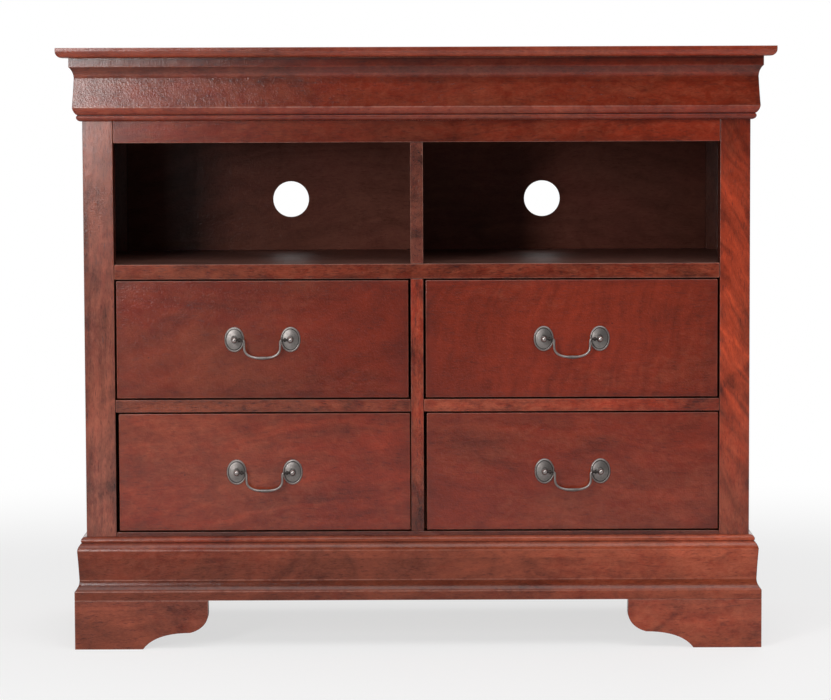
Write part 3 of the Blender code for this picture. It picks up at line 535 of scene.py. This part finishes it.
# Bail pulls, in metres, as the frame has them
BALL_RADIUS = 0.0042
BAIL_STANDOFF = 0.0130
STUD_WAIST = 0.0024
STUD_COLLAR = 0.0048
RIM_HEIGHT = 0.0020
POST_SPACING = 0.084
BAIL_DROP = 0.0270
WIRE_RADIUS = 0.00175
WIRE_SWELL = 0.0008
WIRE_SWELL_REACH = 0.0075
PIN_RADIUS = 0.0015
PIN_TIP = 0.0008
COLLAR_START = 0.0066
COLLAR_LENGTH = 0.0028
ELBOW_RADIUS = 0.0032
LEG_INSET = 0.0152
LEG_STRAIGHT = 0.0110
BAIL_STEPS = 30
FACING = Matrix.Rotation(math.pi / 2, 4, "X")
REARWARD = Matrix.Rotation(-math.pi / 2, 4, "X")

# A rosette from its middle out: shares of the half height, and of the rim's height
ROSETTE_SECTION = (
    (0.0, 1.25), (0.12, 1.24), (0.26, 1.16), (0.42, 1.02), (0.58, 0.84), (0.72, 0.66), (0.79, 0.55),
    (0.815, 0.48), (0.835, 0.48), (0.852, 0.62), (0.866, 0.88), (0.885, 0.99), (0.905, 1.0), (0.928, 0.96),
    (0.955, 0.82), (0.980, 0.56), (0.995, 0.28), (1.0, 0.10), (1.0, 0.0), (0.0, 0.0))

# A bail's collar: shares of its length, and radii
COLLAR_SECTION = (
    (0.0, 0.0021), (0.06, 0.0026), (0.16, 0.0029), (0.5, 0.0030), (0.84, 0.0029), (0.94, 0.0026),
    (1.0, 0.0020))


def pull_post(node, material):
    """An oval rosette, and the stud with its collar, waist and ball."""
    low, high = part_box(node)
    seat = Matrix.Translation(((low.x + high.x) / 2, high.y, (low.z + high.z) / 2))
    half = (high.z - low.z) / 2
    oval = Matrix.Diagonal(((high.x - low.x) / (high.z - low.z), 1.0, 1.0, 1.0))
    plate = turned([(out * half, up * RIM_HEIGHT) for out, up in ROSETTE_SECTION], 72, seat @ FACING @ oval)
    ball = arc((0.0, BAIL_STANDOFF), BALL_RADIUS, 90, -52, 14)
    stud = ball + [
        (STUD_WAIST, 0.0086), (STUD_WAIST, 0.0066), (0.0027, 0.0052), (0.0034, 0.0044),
        (STUD_COLLAR, 0.0040), (STUD_COLLAR, 0.0031), (0.0042, 0.0026), (0.0052, 0.0020), (0.0052, 0.0010),
        (0.0, 0.0010)]
    shank = turned([(max(radius, 0.0), height) for radius, height in stud], 32, seat @ FACING)
    dress(stand_for(joined([plate, shank]), node), material)


def bail_route():
    """(x, z, radius) down the left half of a bail, from its pin's tip to the middle of its grip."""
    post = -POST_SPACING / 2
    collar = post + COLLAR_START
    leg = post + LEG_INSET
    route = [(post + PIN_TIP, 0.0, PIN_RADIUS), (collar - 0.0001, 0.0, PIN_RADIUS)]
    for share, radius in COLLAR_SECTION:
        route.append((collar + share * COLLAR_LENGTH, 0.0, radius))
    elbow = (leg - ELBOW_RADIUS, -ELBOW_RADIUS)
    route += [(x, z, WIRE_RADIUS) for x, z in arc(elbow, ELBOW_RADIUS, 90, 0, 10)]
    fall = BAIL_DROP - LEG_STRAIGHT
    corners = [
        Vector((leg, -LEG_STRAIGHT)), Vector((leg, -LEG_STRAIGHT - 0.72 * fall)),
        Vector((0.64 * leg, -BAIL_DROP)), Vector((0.0, -BAIL_DROP))]
    for i in range(BAIL_STEPS + 1):
        t = i / BAIL_STEPS
        spot = ((1 - t) ** 3 * corners[0] + 3 * t * (1 - t) ** 2 * corners[1]
                + 3 * t * t * (1 - t) * corners[2] + t ** 3 * corners[3])
        route.append((*spot, WIRE_RADIUS + WIRE_SWELL * math.exp(-((spot.x / WIRE_SWELL_REACH) ** 2))))
    return route


def pull_bail(node, material):
    """The swinging handle: pins, collars, drawn legs and a swollen grip."""
    low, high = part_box(node)
    centre_x, axis_z = (low.x + high.x) / 2, low.z + BAIL_DROP + WIRE_RADIUS + WIRE_SWELL
    left = bail_route()
    route = left + [(-x, z, radius) for x, z, radius in reversed(left[:-1])]
    curve = bpy.data.curves.new(node, "CURVE")
    curve.dimensions = "3D"
    curve.bevel_depth = 1.0
    curve.bevel_resolution = 5
    curve.use_fill_caps = True
    spline = curve.splines.new("POLY")
    spline.points.add(len(route) - 1)
    for point, (x, z, radius) in zip(spline.points, route):
        point.co = (centre_x + x, (low.y + high.y) / 2, axis_z + z, 1.0)
        point.radius = radius
    drawn = bpy.data.objects.new(node, curve)
    bpy.context.scene.collection.objects.link(drawn)
    finished = drawn.evaluated_get(bpy.context.evaluated_depsgraph_get())
    form = bmesh.new()
    form.from_mesh(bpy.data.meshes.new_from_object(finished))
    bmesh.ops.remove_doubles(form, verts=form.verts, dist=MERGE)
    bpy.data.objects.remove(drawn)
    dress(stand_for(form, node), material)


# A screw head's (radius, height) out from the wood
SCREW_HEAD = (
    (0.0, 0.0009), (0.0012, 0.0011), (0.0017, 0.0021), (0.0026, 0.0020), (0.0035, 0.0015), (0.0040, 0.0008),
    (0.0040, 0.0), (0.0, 0.0))


def pull_screws(name):
    """The heads, inside a drawer, of the two screws that hold its pull."""
    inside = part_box(f"{name}_drawer_front")[1].y
    heads = []
    for part in ("left_post", "right_post"):
        low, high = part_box(f"{name}_pull_{part}")
        spot = Matrix.Translation(((low.x + high.x) / 2, inside, (low.z + high.z) / 2))
        heads.append(turned(SCREW_HEAD, 20, spot @ REARWARD))
    piece = new_piece(f"{name}_pull_screws", joined(heads), BODY_OF[f"{name}_drawer_front"])
    dress(piece, pewter(f"{name}_screw_steel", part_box(f"{name}_pull_bail"), inside))


def camera():
    lens = bpy.data.cameras.new("camera")
    lens.lens = CAMERA_LENS
    lens.sensor_width = CAMERA_SENSOR
    eye = bpy.data.objects.new("camera", lens)
    bpy.context.scene.collection.objects.link(eye)
    pitch = Matrix.Rotation(math.radians(90.0 - CAMERA_PITCH), 4, "X")
    roll = Matrix.Rotation(math.radians(CAMERA_ROLL), 4, "Z")
    eye.matrix_world = Matrix.Translation(CAMERA_PLACE) @ pitch @ roll
    bpy.context.scene.camera = eye


def softbox(name, place, aim, size, power, lights):
    """An area lamp. It lights what is matt, what is glossy, or all."""
    lamp = bpy.data.lights.new(name, "AREA")
    lamp.shape = "RECTANGLE"
    lamp.size, lamp.size_y = size
    lamp.energy = power
    holder = bpy.data.objects.new(name, lamp)
    bpy.context.scene.collection.objects.link(holder)
    holder.location = place
    holder.rotation_euler = (Vector(aim) - Vector(place)).to_track_quat("-Z", "Y").to_euler()
    holder.visible_diffuse = lights != "glossy"
    holder.visible_glossy = lights != "matt"


def room():
    """White behind the chest, dim in front of it where the camera stands, soft light all round."""
    world = bpy.data.worlds.new("room")
    bpy.context.scene.world = world
    walls = Nodes(world)
    walls.tree.nodes.clear()
    sight = walls.node("ShaderNodeLightPath")
    way = walls.node("ShaderNodeTexCoord").link("Generated")
    to_back = walls.node("ShaderNodeSeparateXYZ", None, {0: way}).value("Y")
    in_gloss = ROOM_IN_GLOSS + (1 - ROOM_IN_GLOSS) * to_back.step(*ROOM_TURN)
    level = ROOM_LIGHT + (in_gloss - ROOM_LIGHT) * sight.value("Is Glossy Ray")
    seen = sight.value("Is Camera Ray").most(sight.value("Is Transmission Ray"))
    strength = level + (1 - level) * seen
    light = walls.node("ShaderNodeBackground", None, {"Color": WHITE, "Strength": strength}).link()
    walls.node("ShaderNodeOutputWorld", None, {"Surface": light})


def floor():
    """Pale floor that keeps the chest's shadow and goes over into the white behind it."""
    form = bmesh.new()
    bmesh.ops.create_circle(form, cap_ends=True, segments=96, radius=FLOOR_RADIUS)
    mesh = bpy.data.meshes.new("floor")
    form.to_mesh(mesh)
    form.free()
    ground = bpy.data.objects.new("floor", mesh)
    bpy.context.scene.collection.objects.link(ground)
    paint = Finish("floor_paint", Roughness=0.9, Specular_IOR_Level=0.0)
    x, y = paint.axes("xy")
    away = ((x * 0.75) ** 2.0 + y ** 2.0) ** 0.5
    seen = paint.node("ShaderNodeLightPath").value("Is Camera Ray")
    paint.feed(paint.shader, {"Base Color": paint.mix(seen, FLOOR_COLOUR, FLOOR_SEEN)})
    fade = (FLOOR_LIFT + (1 - FLOOR_LIFT) * away.step(FLOOR_FADE_START, FLOOR_FADE_END)) * seen
    white = paint.node("ShaderNodeEmission", None, {"Color": WHITE, "Strength": 1.0}).link()
    both = paint.node("ShaderNodeMixShader", None, {0: fade, 1: paint.shader.outputs[0], 2: white}).link()
    paint.feed(paint.tree.nodes["Material Output"], {"Surface": both})
    dress(ground, paint.material)


# How each kind of wooden piece is cut: the axes along the grain, across its face and into it
CUTS = {
    "top_board": "xyz", "media_shelf": "xyz", "compartment_divider": "yzx", "back_panel": "xzy",
    "crown_front": "xzy", "crown_left": "yzx", "crown_right": "yzx", "top_rail": "xzy", "shelf_rail": "xzy",
    "left_drawer_rail": "xzy", "right_drawer_rail": "xzy", "bottom_rail": "xzy", "centre_stile": "zxy",
    "left_front_post": "zxy", "right_front_post": "zxy", "left_side_panel": "zyx", "right_side_panel": "zyx",
    "base_front": "xzy", "base_left": "yzx", "base_right": "yzx",
    "left_front_foot": "xzy", "right_front_foot": "xzy", "left_rear_foot": "xzy", "right_rear_foot": "xzy"}

# The mouldings' lines, at heights above each run's foot
CRISP_HEIGHTS = {"crown": (0.0206, 0.0640, 0.0805), "base": (0.0749, 0.0300, 0.0135)}
CROWN_LINES = {
    "arrises": CRISP_HEIGHTS["crown"][:1], "quirk": (0.0093, 0.8),
    # Painted light and shade: ovolo and bead lighter, fillet, cove and top of the frieze darker under the
    # top board
    "lit_and_shaded_bands": (
        (0.0150, 0.0060, 1.5), (0.0045, 0.0050, 1.3), (0.0875, 0.0070, 0.76), (0.0930, 0.0028, 0.65),
        (0.0755, 0.0060, 0.72), (0.0610, 0.0060, 0.82))}
BASE_LINES = {
    "arrises": CRISP_HEIGHTS["base"], "quirk": (0.0862, 0.35), "gloss": 0.72, "peel": 0.7,
    # Painted light and shade on the base's members
    "lit_and_shaded_bands": (
        (0.0910, 0.0050, 1.5), (0.0810, 0.0050, 1.15), (0.0695, 0.0080, 1.25), (0.0230, 0.0080, 0.72))}

# How the stain took on each piece, at its left or lower end and at its other end, and how its grain shows.
# Shade is partly the stain and partly painted light and shade, such as painted light on the right and lower
# pieces
LOOKS = {
    "top_board": {
        # Painted highlight on the lower part of the top board's front edge
        "brown": (0.6, 0.4), "shade": (1.15, 1.15, 1.5), "grain": 1.1, "lit_and_shaded_bands": ((0.0030, 0.0035, 1.35),)},
    "crown_front": {
        "brown": (0.5, 0.1), "shade": (0.87, 0.71, 0.92), "grain": 1.4, "pale_arrises": (0.5, 0.2), "peel": 0.7,
        **CROWN_LINES},
    "crown_left": {"peel": 0.5, **CROWN_LINES},
    "crown_right": {"peel": 0.5, **CROWN_LINES},
    "top_rail": {
        "brown": (0.5, 0.0), "shade": (0.93, 0.55, 1.14), "gloss": 0.75, "grain": 1.4, "pale_arrises": (0.7, 0.3),
        "peel": 0.5},
    "shelf_rail": {
        "brown": (0.6, 0.4), "shade": (0.94, 0.84, 0.96), "gloss": 0.75, "grain": 2.1, "pale_arrises": (0.5, 0.6),
        "peel": 0.6},
    "left_drawer_rail": {"brown": (0.9, 0.8), "shade": (0.96, 0.96, 1.1), "grain": 2.0},
    "right_drawer_rail": {"brown": (0.4, 0.3), "shade": (1.6, 1.6, 1.4), "grain": 1.8},
    # Painted shade: the bottom rail darker all along
    "bottom_rail": {"brown": (0.5, 0.5), "shade": (0.55, 0.55, 0.65), "grain": 1.5},
    "centre_stile": {
        "brown": (0.4, 0.2), "shade": (0.7, 1.2, 1.48), "grain": 2.4, "streaks": (-20.0, 0.02, 0.8)},
    "left_front_post": {
        "brown": (0.9, 0.8), "shade": (1.3, 1.05, 0.94), "grain": 1.9, "dust_and_sheen": 0.15,
        "streaks": (3.0, 0.020, 1.1), "peel": 0.5},
    "right_front_post": {
        "brown": (0.8, 0.0), "shade": (1.38, 1.15, 0.70), "grain": 1.3, "streaks": (-32.0, 0.014, 1.2),
        "bare": (0.55, 1.0), "peel": 0.6},
    "compartment_divider": {"brown": (0.8, 0.8), "shade": (0.72, 0.72, 0.72), "grain": 2.6, "dust_and_sheen": 0.2},
    "media_shelf": {
        "brown": (1.0, 1.0), "shade": (0.78, 0.78, 0.78), "gloss": 0.5, "dull": 0.25, "grain": 1.1,
        "dust_and_sheen": 0.65},
    # Painted shadow: the back panel much darker at its left end and darker at its right end
    "back_panel": {
        "brown": (0.8, 0.8), "shade": (0.38, 0.93, 0.50), "gloss": 0.1, "grain": 0.9, "dust_and_sheen": 0.38,
        "nailed": True},
    "base_front": {
        "brown": (0.8, 0.9), "shade": (0.84, 0.84, 1.75), "grain": 1.35, "pale_arrises": (0.5, 0.12), **BASE_LINES},
    "base_left": {"brown": (0.8, 0.8), **BASE_LINES},
    "base_right": {"brown": (0.7, 0.7), **BASE_LINES},
    "left_front_foot": {"brown": (1.2, 1.1), "shade": (1.05, 1.02, 1.02), "grain": 1.8, "pale_arrises": (0.5, 0.4)},
    "right_front_foot": {"brown": (0.9, 0.9), "shade": (1.6, 1.6, 1.6), "grain": 1.6, "pale_arrises": (0.3, 0.2)},
    "upper_left_drawer_front": {
        "brown": (0.45, 0.1), "shade": (0.97, 0.84, 0.91), "streaks": (30.0, 0.026, 0.9),
        "knots": ((0.109, 0.347),)},
    "upper_right_drawer_front": {
        "brown": (-0.1, 0.0), "shade": (0.88, 1.25, 0.98), "streaks": (78.0, 0.012, 0.9),
        "knots": ((0.638, 0.627),)},
    "lower_left_drawer_front": {
        "brown": (0.5, 0.15), "shade": (1.15, 1.1, 1.06), "grain": 1.35, "streaks": (8.0, 0.022, 0.8),
        "knots": ((0.225, 0.475),)},
    "lower_right_drawer_front": {
        "brown": (0.1, 0.3), "shade": (1.03, 1.06, 1.1), "grain": 1.05, "streaks": (-7.0, 0.018, 0.7)}}
# Painted shade on the side panels' faces seen through the openings, and on the rear posts' fronts
INNER_WALL_SHADE = {"brown": (0.8, 0.8), "shade": (0.42, 0.42, 0.42), "grain": 1.5, "dust_and_sheen": 0.3}
# Painted shade on the faces that line the openings and on the drawer fronts' edges, in the gaps
SHADED_LINING = {"brown": (0.6, 0.6), "shade": (0.35, 0.35, 0.35), "gloss": 0.4, "dull": 0.2, "pale_arrises": (0.0, 0.0)}
DRAWER_FRONT = {"pale_arrises": (0.4, 0.3), "peel": 0.8}
BOX_PARTS = {"left_side": "yzx", "right_side": "yzx", "back": "xzy", "bottom": "xyz"}
SQUARE_ON = 0.7                  # least share of a face's normal along the way that it faces
STILE_REACH = 0.05
BOARDS = {
    "left_front_post", "right_front_post", "top_rail", "shelf_rail", "left_drawer_rail", "right_drawer_rail",
    "centre_stile", "bottom_rail"}


def give_faces(piece, material, chosen):
    """Give some faces of a piece a finish of their own."""
    piece.data.materials.append(material)
    for face in piece.data.polygons:
        if chosen(face):
            face.material_index = len(piece.data.materials) - 1


def lines_opening(face):
    """The faces of rails, stile and posts that line the openings."""
    to_middle = face.normal.x * face.center.x < 0 or abs(face.center.x) < STILE_REACH
    return abs(face.normal.x) > SQUARE_ON and to_middle or abs(face.normal.z) > SQUARE_ON


def shows_inside(face):
    """The faces of a side panel and its rear post that are seen through the openings."""
    return face.normal.x * face.center.x < -SQUARE_ON * abs(face.center.x) or face.normal.y < -SQUARE_ON


def wooden_case():
    for seed, (node, order) in enumerate(sorted(CUTS.items())):
        look = LOOKS.get(node, {})
        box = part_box(node)
        if node in BOARDS:
            piece = rounded_board(node)
        else:
            piece = eased_copy(node, CRISP_HEIGHTS.get(node.split("_")[0], ()))
        dress(piece, stained_cherry(f"{node}_cherry", box, order, seed + 1.0, **look))
        if node in BOARDS:
            # Painted shade on the faces that line the openings
            shaded_lining = stained_cherry(f"{node}_lining_cherry", box, order, seed + 30.0, **SHADED_LINING)
            give_faces(piece, shaded_lining, lines_opening)
        if node == "shelf_rail":
            shelf = stained_cherry("shelf_rail_top_cherry", box, "xyz", seed + 31.0, **LOOKS["media_shelf"])
            give_faces(piece, shelf, lambda face: face.normal.z > SQUARE_ON)
        if node.endswith("_foot"):
            side = stained_cherry(f"{node}_side_cherry", box, "yzx", seed + 30.0, **look)
            give_faces(piece, side, lambda face: abs(face.normal.x) > SQUARE_ON)
        if node.endswith("_side_panel"):
            # Painted shade inside the compartments
            inner_shade = stained_cherry(f"{node}_inner_cherry", box, order, seed + 30.0, **INNER_WALL_SHADE)
            give_faces(piece, inner_shade, shows_inside)


def drawers():
    seed = 50.0
    for level in ("upper", "lower"):
        for hand in ("left", "right"):
            name = f"{level}_{hand}"
            front = f"{name}_drawer_front"
            seed += 1.0
            piece = eased_copy(front)
            look = {**DRAWER_FRONT, **LOOKS[front]}
            dress(piece, stained_cherry(f"{front}_cherry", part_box(front), "xzy", seed, **look))
            # Painted shade on the drawer front's edges, in the gap round it
            edges = stained_cherry(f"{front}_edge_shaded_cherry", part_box(front), "xzy", seed + 0.1, **SHADED_LINING)
            give_faces(piece, edges, lambda face: abs(face.normal.y) < SQUARE_ON)
            for part, order in BOX_PARTS.items():
                node = f"{name}_drawer_{part}"
                seed += 0.37
                dress(eased_copy(node), box_wood(f"{node}_wood", order, seed))
            runner = f"{name}_drawer_runner"
            dress(eased_copy(runner), box_wood(f"{runner}_wood", "yxz", seed + 0.2))
            for part in ("left_post", "right_post"):
                node = f"{name}_pull_{part}"
                pull_post(node, pewter(f"{node}_metal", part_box(node), seed, "rosette"))
                seed += 0.21
            node = f"{name}_pull_bail"
            pull_bail(node, pewter(f"{node}_metal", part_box(node), seed, "bail"))
            pull_screws(name)


camera()
room()
floor()
for lamp in SOFTBOXES:
    softbox(*lamp)
wooden_case()
drawers()

view = bpy.context.scene.view_settings
view.view_transform = "Standard"
